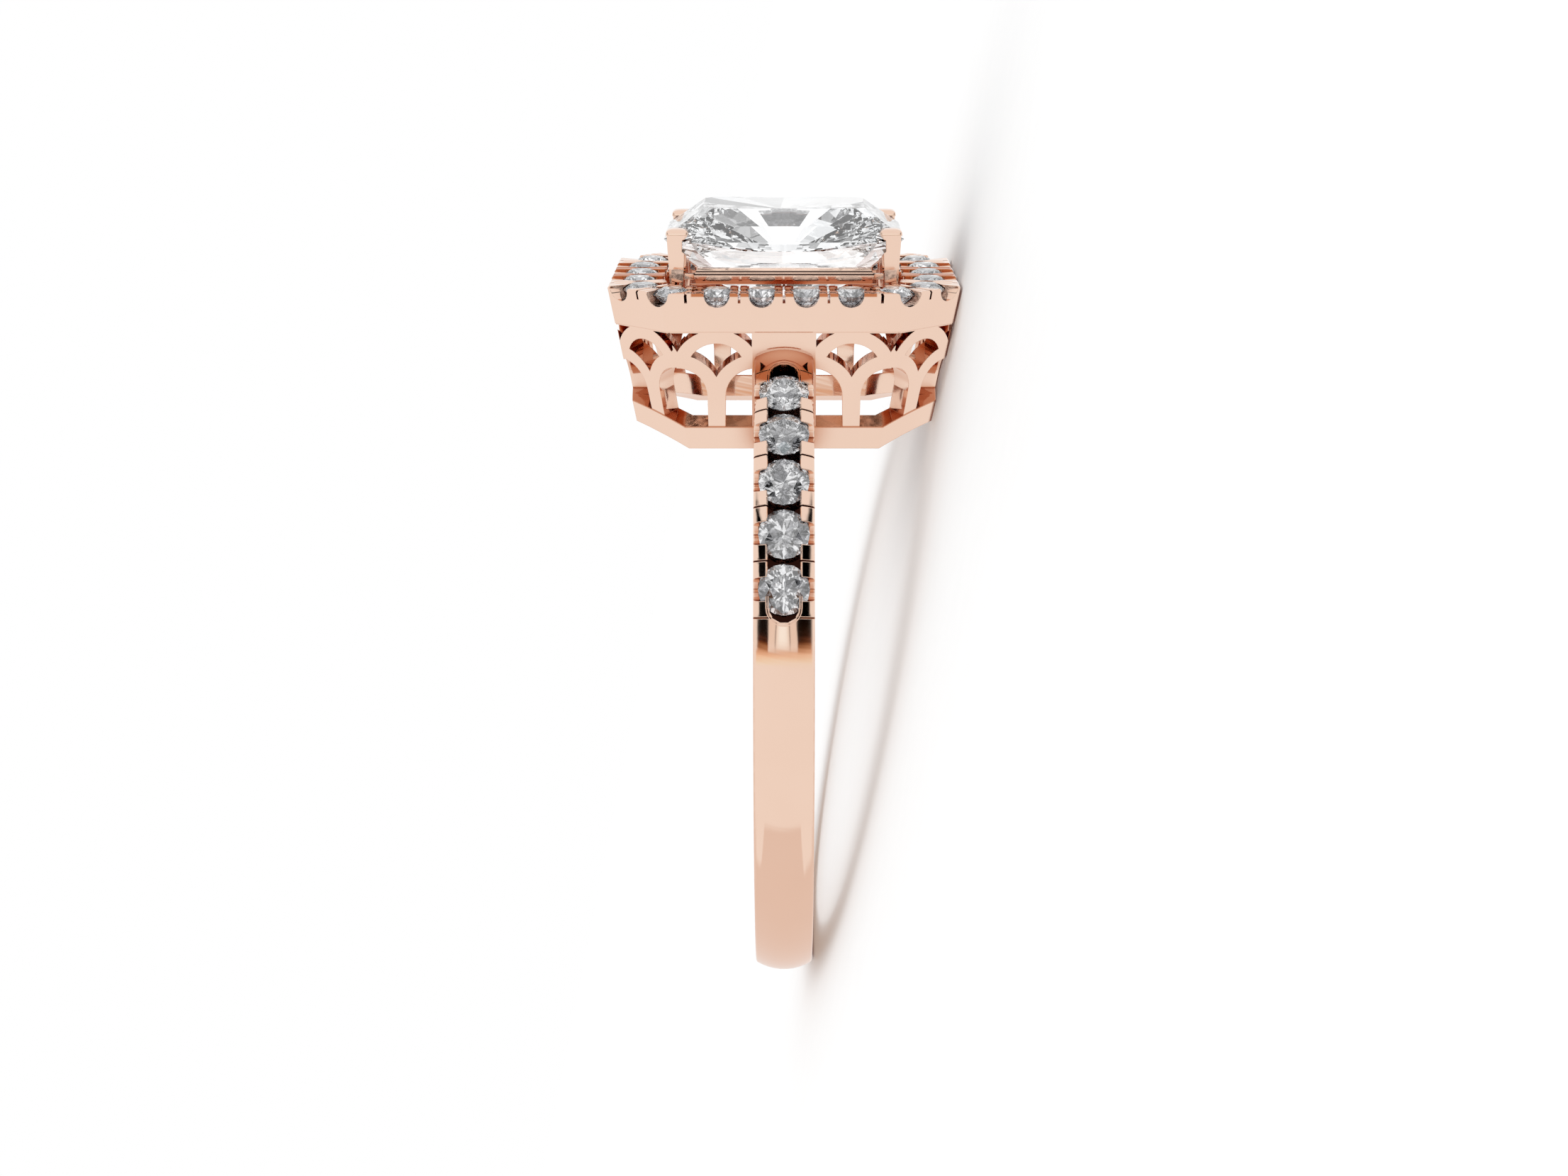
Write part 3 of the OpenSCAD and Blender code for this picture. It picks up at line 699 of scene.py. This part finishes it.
    def flags(self, side: Sock, rise: Sock, high: Sock) -> Sock:
        """Find the two dark flags and the dark strip that joins them at their foot.

        Args:
            side: The ray's way along the finger.
            rise: Its height over the flags' lower edge.
            high: Its way towards the head.

        Returns:
            1 on the flags and 0 elsewhere.
        """
        right = side.window(*self.flag_right, self.flag_edge)
        left = (-side).window(*self.flag_left, self.flag_edge)
        upright = (right + left) * (1 - high.smooth(*self.flag_top))
        foot = (1 - side.beyond(*self.foot_side)) * rise.window(*self.foot_rise, self.foot_edge)
        return 1 - (1 - upright) * (1 - foot)

    def light_gap(self, graph: Graph, side: Sock, rise: Sock, first: Sock,
                  tone: bpy.types.NodeSocket) -> bpy.types.NodeSocket:
        """Light the gap between the flags: a bright middle between two fine dark lines.

        Args:
            graph: The world's graph.
            side: The ray's way along the finger.
            rise: Its height over the flags' lower edge.
            first: 1 for first mirror images that look towards the viewer.
            tone: The background without the gap.

        Returns:
            The background with the gap.
        """
        left, right = self.gap_lines
        half = self.gap_line_half
        inside = (1 - side.beyond(*self.gap_side)) * first
        inside = inside * rise.smooth(*self.gap_foot) * (1 - rise.smooth(*self.gap_top))
        off_middle = side - (left + right) / 2
        glow = 1 - (off_middle * off_middle).smooth(0.0, ((right - left) / 2) ** 2)
        lines = side.window(right - half, right + half, half) + side.window(left - half, left + half, half)
        tone = graph.mix_colour(inside, tone, self.gap_tint)
        tone = graph.mix_colour(inside * glow, tone, self.gap_glow)
        return graph.mix_colour(inside * lines * self.gap_line_depth, tone, BLACK)

    def stone_surround(self, graph: Graph, way: bpy.types.NodeSocket) -> bpy.types.NodeSocket:
        """Make what light leaving a stone sees: panels of every tone from white to black.

        Args:
            graph: The world's graph.
            way: The direction of the ray.

        Returns:
            The background.
        """
        side = graph.dot(way, self.axes.right)
        near = graph.dot(way, -self.axes.back)
        high = graph.dot(way, self.axes.head)
        upright = graph.add(Node.COMBINE, None, {0: side * self.panel_stretch, 1: near, 2: high}).outputs[0]
        draw = graph.cell_draw(upright, self.panel_scale)
        panels = draw.smooth(*self.panel_contrast) * self.panel_bright
        panels = panels * (1 - near.smooth(*self.viewer_reach) * self.viewer_shade)
        ends = high.smooth(*self.overhead_reach) * self.overhead_fill
        ends = ends + (-high).smooth(*self.under_reach) * self.under_fill
        lit = panels + ends * (1 - panels)
        behind = (-near).smooth(*self.behind_reach) * self.behind_fill
        return graph.background(WHITE, lit + behind * (self.behind_bright - lit))

    def make_key_light(self) -> None:
        """Light the ring and the whole floor evenly from one broad soft source high above."""
        data = bpy.data.lights.new("key", "SUN")
        data.angle = self.key_spread
        data.energy = self.key_power
        key = bpy.data.objects.new("key", data)
        key.rotation_euler = Vector(self.key_way).to_track_quat("-Z", "Y").to_euler()
        key.visible_glossy = False
        key.visible_transmission = False
        bpy.context.scene.collection.objects.link(key)

    def make_camera(self) -> None:
        """Place the camera where the reference view was taken, in the lying ring's axes."""
        s, c = math.sin(self.camera_tilt), math.cos(self.camera_tilt)
        forward = Vector((0, c, -s))
        up = Vector((0, s, c))
        place = up * self.camera_rise - forward * self.camera_distance + Vector((0, 0, self.aim_height))
        turn = self.axes.turn()
        data = bpy.data.cameras.new("camera")
        data.lens = self.lens
        data.sensor_width = self.sensor
        data.clip_start = MM
        camera = bpy.data.objects.new("camera", data)
        basis = Matrix((self.axes.right, turn @ up, -(turn @ forward))).transposed()
        camera.matrix_world = Matrix.Translation(self.axes.point(*place)) @ basis.to_4x4()
        bpy.context.scene.collection.objects.link(camera)
        bpy.context.scene.camera = camera


class Tree:
    """A geometry tree with named inputs, run once on a mesh to give a plain one."""

    def __init__(self, name: str) -> None:
        """Start a tree with a geometry input and output.

        Args:
            name: The tree's name.
        """
        self.group = bpy.data.node_groups.new(name, "GeometryNodeTree")
        self.group.interface.new_socket("Geometry", in_out="OUTPUT", socket_type="NodeSocketGeometry")
        self.keys: dict[str, str] = {}
        self.add_input("Geometry", "NodeSocketGeometry")
        self.graph = Graph(self.group)

    def add_input(self, name: str, kind: str) -> None:
        """Add an input of a name and a socket type."""
        socket = self.group.interface.new_socket(name, in_out="INPUT", socket_type=kind)
        self.keys[name] = socket.identifier

    def run(self, mesh: bpy.types.Mesh, values: dict[str, Any]) -> bpy.types.Mesh:
        """Run the tree on a mesh.

        Args:
            mesh: The mesh that goes in, which is used up.
            values: The other inputs by name.

        Returns:
            A new plain mesh.
        """
        holder = bpy.data.objects.new("holder", mesh)
        bpy.context.scene.collection.objects.link(holder)
        modifier = holder.modifiers.new("tree", "NODES")
        modifier.node_group = self.group
        for name, value in values.items():
            modifier[self.keys[name]] = value
        graph = bpy.context.evaluated_depsgraph_get()
        result = bpy.data.meshes.new_from_object(holder.evaluated_get(graph), depsgraph=graph)
        holder.modifiers.remove(modifier)
        bpy.data.objects.remove(holder)
        bpy.data.meshes.remove(mesh)
        return result


class Repeater(Tree):
    """Geometry tree that sets one small mesh at many places, scaled to a length, width and height."""

    def __init__(self) -> None:
        """Build the tree."""
        super().__init__("repeater")
        for size in ("Length", "Width", "Height"):
            self.add_input(size, "NodeSocketFloat")
        self.add_input("Piece", "NodeSocketObject")
        self.add_input("Material", "NodeSocketMaterial")
        graph = self.graph
        given = graph.add(Node.GROUP_IN).outputs
        piece = graph.add(Node.OBJECT_INFO, None, {"Object": given["Piece"]})
        turn = graph.add(Node.ATTRIBUTE, {"data_type": "FLOAT_VECTOR"}, {"Name": "turn"})
        size = graph.add(Node.COMBINE, None, {0: given["Length"], 1: given["Width"], 2: given["Height"]})
        placed = graph.add(
            Node.INSTANCES, None,
            {"Points": given["Geometry"], "Instance": piece.outputs["Geometry"],
             "Rotation": turn.outputs["Attribute"], "Scale": size.outputs[0]},
        )
        real = graph.add(Node.REALIZE, None, {0: placed.outputs[0]})
        finished = graph.add(Node.SET_MATERIAL, None, {0: real.outputs[0], "Material": given["Material"]})
        graph.add(Node.GROUP_OUT, None, {0: finished.outputs[0]})

    def place(self, piece: bpy.types.Mesh, spots: Iterable[tuple[Vector, Matrix]],
              size: tuple[float, float, float], material: bpy.types.Material) -> bpy.types.Mesh:
        """Set a mesh at each place.

        Args:
            piece: The small mesh, of unit size.
            spots: Each place, and the matrix that turns the piece there.
            size: Length, width and height.
            material: The finish.

        Returns:
            All of them in one mesh.
        """
        spots = list(spots)
        points = bpy.data.meshes.new("points")
        points.from_pydata([tuple(spot) for spot, _ in spots], [], [])
        turns = points.attributes.new("turn", "FLOAT_VECTOR", "POINT")
        for i, (_, turn) in enumerate(spots):
            turns.data[i].vector = Vector(turn.to_euler())
        holder = bpy.data.objects.new("unit_piece", piece)
        values = {"Length": size[0], "Width": size[1], "Height": size[2], "Piece": holder,
                  "Material": material}
        result = self.run(points, values)
        bpy.data.objects.remove(holder)
        return result


class Wire(Tree):
    """Geometry tree that draws a round wire along the edges of a mesh."""

    sides: int = 10

    def __init__(self) -> None:
        """Build the tree."""
        super().__init__("wire")
        self.add_input("Radius", "NodeSocketFloat")
        self.add_input("Material", "NodeSocketMaterial")
        graph = self.graph
        given = graph.add(Node.GROUP_IN).outputs
        path = graph.add(Node.TO_CURVE, None, {0: given["Geometry"]})
        profile = graph.add(Node.CIRCLE, None, {"Resolution": self.sides, "Radius": given["Radius"]})
        tube = graph.add(
            Node.TO_MESH, None,
            {"Curve": path.outputs[0], "Profile Curve": profile.outputs[0], "Fill Caps": True},
        )
        smooth = graph.add(Node.SET_SMOOTH, None, {0: tube.outputs[0]})
        finished = graph.add(Node.SET_MATERIAL, None, {0: smooth.outputs[0], "Material": given["Material"]})
        graph.add(Node.GROUP_OUT, None, {0: finished.outputs[0]})

    def draw(self, paths: Iterable[list[Vector]], radius: float,
             material: bpy.types.Material) -> bpy.types.Mesh:
        """Draw a wire along each path.

        Args:
            paths: The points of each path.
            radius: The wire's radius.
            material: The finish.

        Returns:
            All of them in one mesh.
        """
        points: list[Vector] = []
        edges: list[tuple[int, int]] = []
        for path in paths:
            first = len(points)
            points.extend(path)
            edges.extend((first + i, first + i + 1) for i in range(len(path) - 1))
        mesh = bpy.data.meshes.new("paths")
        mesh.from_pydata(points, edges, [])
        return self.run(mesh, {"Radius": radius, "Material": material})


@dataclass(frozen=True)
class Cushion:
    """Unit rounded cushion: a plan between an ellipse and a rectangle, with a soft edge and a domed top."""

    squareness: float = 4.0
    flatness: float = 3.0
    around: int = 24
    rows: int = 6
    foot: float = -1.0

    def mesh(self) -> bpy.types.Mesh:
        """Make the mesh, one unit long and wide, and one unit high above its plane.

        Returns:
            The mesh.
        """
        mesh = bpy.data.meshes.new("cushion")
        points = []
        for row in range(self.rows):
            lift = max(row - 1, 0) / (self.rows - 1) * math.pi / 2
            grow = math.cos(lift) ** (2 / self.flatness) / 2
            z = self.foot if row == 0 else math.sin(lift) ** (2 / self.flatness)
            for i in range(self.around):
                a = 2 * math.pi * i / self.around
                x = math.copysign(abs(math.cos(a)) ** (2 / self.squareness), math.cos(a))
                y = math.copysign(abs(math.sin(a)) ** (2 / self.squareness), math.sin(a))
                points.append((grow * x, grow * y, z))
        points.append((0, 0, 1))
        n = self.around
        faces = [tuple(reversed(range(n)))]
        for row in range(self.rows - 1):
            for i in range(n):
                j = (i + 1) % n
                faces.append((row * n + i, row * n + j, (row + 1) * n + j, (row + 1) * n + i))
        last = (self.rows - 1) * n
        faces.extend((last + i, last + (i + 1) % n, len(points) - 1) for i in range(n))
        mesh.from_pydata(points, [], faces)
        mesh.polygons.foreach_set("use_smooth", [True] * len(mesh.polygons))
        return mesh


def add_piece(name: str, mesh: bpy.types.Mesh, axes: RingAxes, slot: Slot) -> bpy.types.Object:
    """Turn a mesh in upright millimetres into a piece of the lying ring. Stones don't show the metal.

    Args:
        name: The piece's name.
        mesh: Its mesh, on the upright ring.
        axes: The lying ring's axes.
        slot: Its material slot.

    Returns:
        The piece.
    """
    mesh.transform(Matrix.Translation(axes.origin) @ (axes.turn() * MM).to_4x4())
    mesh.name = name
    piece = bpy.data.objects.new(name, mesh)
    piece.visible_transmission = slot != Slot.METAL
    bpy.context.scene.collection.objects.link(piece)
    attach(piece, BODY)
    LOG.info("%s: %d faces", name, len(mesh.polygons))
    return piece


def dress_nodes(nodes: dict[str, bpy.types.Object], gold: bpy.types.Material,
                stone_finishes: dict[str, bpy.types.Material]) -> None:
    """Give each node its finish. Stones don't show the metal.

    Args:
        nodes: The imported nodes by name.
        gold: The metal's finish.
        stone_finishes: The stones' finishes by the start of their names.
    """
    for name, node in nodes.items():
        metal = name == "ring_mount"
        node.data.materials.clear()
        node.data.materials.append(gold if metal else stone_finishes[name.split("_")[0]])
        node.visible_transmission = not metal
        LOG.info("%s dressed", name)


class FacetRing(NamedTuple):
    """One ring of the pavilion's points: how far in and down it lies, and how its outline curves."""

    inset: float
    depth: float
    squareness: float
    bow: float
    count: int


@dataclass
class CentreStone:
    """The centre stone, with a stepped crown and a pavilion of many small facets."""

    axes: RingAxes
    finish: bpy.types.Material
    half_x: float = 3.69
    half_y: float = 2.9
    corner: float = 0.85
    girdle_top: float = 14.01
    girdle_h: float = 0.27
    crown_h: float = 0.87
    break_h: float = 0.42
    break_in: float = 0.576
    break_front: float = 0.54
    break_side: float = 0.62
    table: tuple[float, float, float] = (2.5, 1.525, 0.27)
    keel_half: float = 0.12
    keel_depth: float = 2.42
    fan_half: float = 1.2
    rings: tuple[FacetRing, ...] = (
        FacetRing(inset=0.0, depth=0.0, squareness=12.0, bow=0.12, count=36),
        FacetRing(inset=0.75, depth=0.72, squareness=6.0, bow=0.16, count=26),
        FacetRing(inset=1.45, depth=1.28, squareness=2.6, bow=0.07, count=14),
    )

    def octagon(self, half_x: float, half_y: float, leg: float, z: float) -> list[Place]:
        """Give the points of a rectangle with cut corners.

        Args:
            half_x: Half its length.
            half_y: Half its width.
            leg: The leg of its cut corners.
            z: Its height.

        Returns:
            Eight points.
        """
        return [
            (sx * (half_x - (0 if flat else leg)), sy * (half_y - (leg if flat else 0)), z)
            for sx in (-1, 1) for sy in (-1, 1) for flat in (True, False)
        ]

    def crown_break(self) -> list[Place]:
        """Give the points between the crown's two steps."""
        z = self.girdle_top + self.break_h
        inset = self.corner / 2 + self.break_in / math.sqrt(2)
        points = []
        for sx in (-1, 1):
            for sy in (-1, 1):
                points.append((sx * self.break_front * self.table[0], sy * (self.half_y - self.break_in), z))
                points.append((sx * (self.half_x - self.break_in), sy * self.break_side * self.table[1], z))
                points.append((sx * (self.half_x - inset), sy * (self.half_y - inset), z))
        return points

    def pavilion(self) -> list[Place]:
        """Give the points of the pavilion's rings and keel, each ring half a step on from the last.

        The last ring has none in the middle, so long facets fan out there from the keel.

        Returns:
            The points.
        """
        low = self.girdle_top - self.girdle_h
        points = [(sx * self.keel_half, 0.0, low - self.keel_depth) for sx in (-1, 1)]
        for row, (inset, depth, square, bow, count) in enumerate(self.rings):
            half_x, half_y = self.half_x - inset, self.half_y - inset
            reach = half_x + half_y - self.corner + (2 - math.sqrt(2)) * inset
            for i in range(count):
                a = 2 * math.pi * (i + 0.5 * (row % 2)) / count
                c, s = math.cos(a), math.sin(a)
                r = (abs(c) ** square + abs(s) ** square) ** (-1 / square)
                x = half_x * r * c * (1 - bow * (r * s) ** 2)
                y = half_y * r * s * (1 - bow * (r * c) ** 2)
                if row == len(self.rings) - 1 and abs(x) < self.fan_half:
                    continue
                over = max(abs(x) + abs(y) - reach, 0) / 2
                points.append((x - math.copysign(over, x), y - math.copysign(over, y), low - depth))
        return points

    def build(self) -> None:
        """Make the stone as the tightest solid round its points."""
        points = self.octagon(*self.table, self.girdle_top + self.crown_h) + self.crown_break()
        points += self.octagon(self.half_x, self.half_y, self.corner, self.girdle_top) + self.pavilion()
        shape = bmesh.new()
        for point in points:
            shape.verts.new(point)
        bmesh.ops.convex_hull(shape, input=shape.verts[:])
        loose = [vert for vert in shape.verts if not vert.link_faces]
        bmesh.ops.delete(shape, geom=loose, context="VERTS")
        bmesh.ops.recalc_face_normals(shape, faces=shape.faces[:])
        mesh = bpy.data.meshes.new("brilliant_centre")
        shape.to_mesh(mesh)
        shape.free()
        mesh.materials.append(self.finish)
        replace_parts(add_piece("brilliant_centre", mesh, self.axes, Slot.STONE), "centre_stone")


@dataclass
class Prongs:
    """The four prongs' domed tips, each with a near-black sheet of painted shade for a fine slot under its
    front edge.
    """

    axes: RingAxes
    gold: bpy.types.Material
    shade: bpy.types.Material
    x: float = 3.27
    y: float = 2.39
    top: float = 14.36
    tip_w: float = 0.69
    tip_h: float = 0.17
    tip_proud: float = 0.02
    slot_shade_len: float = 0.40
    slot_shade_h: float = 0.035
    slot_shade_proud: float = 0.004
    slot_shade_drop: float = 0.125
    face: float = 0.315

    def build(self) -> None:
        """Make the tips and the sheets of painted slot shade."""
        corners = [(sx, sy) for sx in (-1, 1) for sy in (-1, 1)]
        tips = [
            (Vector((sx * self.x, sy * self.y, self.top + self.tip_proud - self.tip_h)), Matrix.Identity(3))
            for sx, sy in corners
        ]
        mesh = Repeater().place(
            Cushion(squareness=10.0, flatness=3.2, around=40, foot=-0.05).mesh(), tips,
            (self.tip_w, self.tip_w, self.tip_h), self.gold,
        )
        add_piece("prong_tips", mesh, self.axes, Slot.METAL)
        # Painted shade: a thin near-black sheet on each prong's face stands for the dark of a fine slot.
        slots = []
        for sx, sy in corners:
            spot = Vector((sx * self.x, sy * (self.y + self.face), self.top - self.slot_shade_drop))
            slots.append((spot, Matrix.Rotation(math.pi / 2 * (1 if sy < 0 else -1), 3, "X")))
        mesh = Repeater().place(
            Cushion(squareness=6.0, foot=-6.0).mesh(), slots,
            (self.slot_shade_len, self.slot_shade_h, self.slot_shade_proud), self.shade,
        )
        add_piece("prong_slots", mesh, self.axes, Slot.METAL)


@dataclass
class Halo:
    """Rounded tips of the small prongs between the halo's stones."""

    axes: RingAxes
    gold: bpy.types.Material
    top: float = 12.71
    slit_w: float = 0.08
    tip_len: float = 0.64
    tip_w: float = 0.225
    tip_h: float = 0.016
    tip_out: float = 0.50

    def stones(self) -> list[Vector]:
        """Read the middle of each halo stone from the frame, in order, on the upright ring."""
        names = sorted(name for name in frame["nodes"] if name.startswith("halo_stone"))
        return [self.axes.upright(sum((Vector(c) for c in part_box(name)), Vector()) / 2) for name in names]

    def build(self) -> None:
        """Make the tips, two outside and two inside each gap between stones."""
        stones = self.stones()
        spots = []
        for i, here in enumerate(stones):
            there = stones[(i + 1) % len(stones)]
            along = (there - here).normalized()
            out = along.cross(Vector((0, 0, 1)))
            middle = (here + there) / 2
            for away in (-1, 1):
                for side in (-1, 1):
                    step = along * side * (self.slit_w + self.tip_w) / 2
                    spot = middle + out * away * self.tip_out + step
                    spots.append((Vector((spot.x, spot.y, self.top)),
                                  Matrix((out, along, Vector((0, 0, 1)))).transposed()))
        mesh = Repeater().place(
            Cushion(squareness=5.0, flatness=2.6, around=20, rows=5, foot=-2.0).mesh(), spots,
            (self.tip_len, self.tip_w, self.tip_h), self.gold,
        )
        add_piece("halo_prong_tips", mesh, self.axes, Slot.METAL)


@dataclass
class Shoulders:
    """Fine rims round the ends of the two stone channels."""

    axes: RingAxes
    gold: bpy.types.Material
    outer_r: float = 11.03
    dome_r: float = 1.71
    rise: float = 0.86
    low_angle: float = 19.7
    high_angle: float = 60.56
    leg: float = 0.34
    halves: tuple[float, ...] = (0.455, 0.515)
    wire_r: float = 0.017
    turns: int = 14

    def on_dome(self, x: float, arc: float, angle: float, back: int) -> Vector:
        """Give a place on the shank's domed face.

        Args:
            x: Along the finger.
            arc: Along the shank from the angle, in millimetres.
            angle: Angle above the finger's level.
            back: 1 on the far shoulder and -1 on the near one.

        Returns:
            The place on the upright ring.
        """
        r = self.outer_r - self.dome_r + math.sqrt(self.dome_r ** 2 - x * x)
        a = math.radians(angle) + arc / self.outer_r
        return Vector((x, back * r * math.cos(a), self.rise + r * math.sin(a)))

    def rim(self, half: float, angle: float, way: int, back: int) -> list[Vector]:
        """Give the path of one rim: a leg, half a turn and a leg.

        Args:
            half: Half of its width.
            angle: The angle of the channel's end.
            way: -1 for the low end and 1 for the high one.
            back: 1 on the far shoulder and -1 on the near one.

        Returns:
            The path.
        """
        flat = [(-half, -self.leg)]
        for i in range(self.turns + 1):
            a = math.pi * i / self.turns
            flat.append((-half * math.cos(a), half * math.sin(a)))
        flat.append((half, -self.leg))
        return [self.on_dome(x, way * s, angle, back) for x, s in flat]

    def build(self) -> None:
        """Make the rims."""
        paths = [
            self.rim(half, angle, way, back)
            for back in (-1, 1) for angle, way in ((self.low_angle, -1), (self.high_angle, 1))
            for half in self.halves
        ]
        mesh = Wire().draw(paths, self.wire_r, self.gold)
        add_piece("channel_rims", mesh, self.axes, Slot.METAL)


def main() -> None:
    """Build the studio, dress the ring's nodes and add its finer pieces."""
    logging.basicConfig(level=logging.INFO, format="%(message)s")
    axes = RingAxes.from_record(frame["record"])
    Studio(axes).build()
    gold = RoseGold().build("rose_gold", axes)
    # Near-black gold for the sheets of painted slot shade on the prongs.
    slot_shade = RoseGold(
        colour=(0.16, 0.05, 0.025, 1), cloud_colour=(0.12, 0.035, 0.018, 1),
        recess_shade_colour=(0.08, 0.02, 0.01, 1),
    ).build("slot_shade", axes)
    # Small stones: a little darker overall, the painted shade of their seats, with strong painted dark facet
    # reflections.
    halo_diamond = Diamond(colour=(0.92, 0.92, 0.93, 1), tone=(0.16, 0.16, 0.17, 1), cell_scale=4500.0)
    shank_diamond = Diamond(colour=(0.95, 0.95, 0.96, 1), tone=(0.1, 0.1, 0.11, 1), cell_scale=4000.0)
    finishes = {
        "centre": Diamond().build("diamond"),
        "halo": halo_diamond.build("halo_diamond"),
        "shank": shank_diamond.build("shank_diamond"),
    }
    dress_nodes(frame["nodes"], gold, finishes)
    CentreStone(axes, finishes["centre"]).build()
    Prongs(axes, gold, slot_shade).build()
    Halo(axes, gold).build()
    Shoulders(axes, gold).build()


if __name__ == "__main__":
    main()
